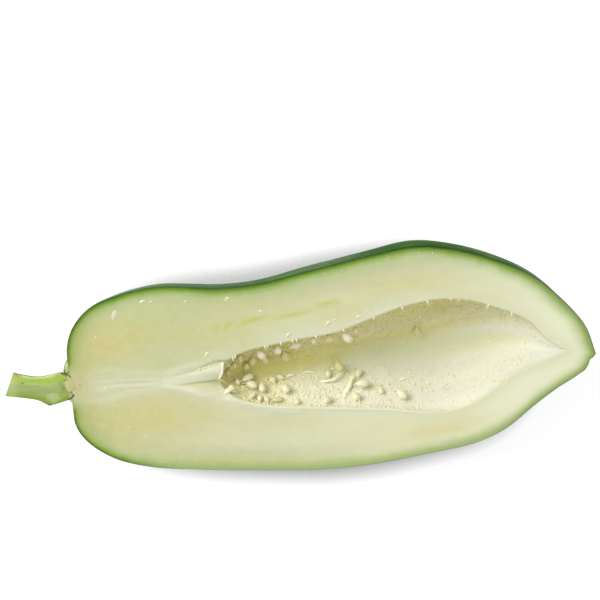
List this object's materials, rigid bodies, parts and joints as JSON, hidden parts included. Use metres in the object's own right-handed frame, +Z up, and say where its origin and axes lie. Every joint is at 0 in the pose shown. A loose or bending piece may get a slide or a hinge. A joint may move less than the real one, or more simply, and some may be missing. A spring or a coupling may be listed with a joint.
{
  "type": "green papaya half",
  "caption": "Half of an unripe green papaya, cut lengthwise through its stem and seed hollow, with pale flesh, green skin and white unripe seeds, lying on its back.",
  "frame": {"origin": "middle of the footprint, on the surface the half lies on", "axes": "+X along the fruit from its stem toward its tip, +Z up; the cut face leans 18 degrees from level toward -Y"},
  "size_m": [0.3084, 0.1168, 0.0742],
  "materials": {
    "flesh": "moist pale green-cream flesh, green toward a thin dark green waxy skin",
    "stem": "cut green stem, greyish pith between brighter green edges",
    "seed": "moist ivory-white unripe seed with fine lengthwise veins"
  },
  "bodies": {
    "root": {"fruit_half": "flesh", "stem_half": "stem", "wall_seed_01": "seed", "wall_seed_02": "seed", "wall_seed_03": "seed", "wall_seed_04": "seed", "wall_seed_05": "seed", "wall_seed_06": "seed", "wall_seed_07": "seed", "wall_seed_08": "seed", "wall_seed_09": "seed", "wall_seed_10": "seed", "wall_seed_11": "seed", "wall_seed_12": "seed", "wall_seed_13": "seed", "wall_seed_14": "seed", "wall_seed_15": "seed", "wall_seed_16": "seed", "wall_seed_17": "seed", "wall_seed_18": "seed", "wall_seed_19": "seed", "wall_seed_20": "seed", "wall_seed_21": "seed", "wall_seed_22": "seed", "wall_seed_23": "seed", "wall_seed_24": "seed", "wall_seed_25": "seed", "wall_seed_26": "seed", "wall_seed_27": "seed", "wall_seed_28": "seed", "wall_seed_29": "seed", "wall_seed_30": "seed", "wall_seed_31": "seed", "wall_seed_32": "seed", "hanging_seed_01": "seed", "hanging_seed_02": "seed", "hanging_seed_03": "seed", "hanging_seed_04": "seed", "hanging_seed_05": "seed", "hanging_seed_06": "seed", "hanging_seed_07": "seed"}
  },
  "joints": []
}
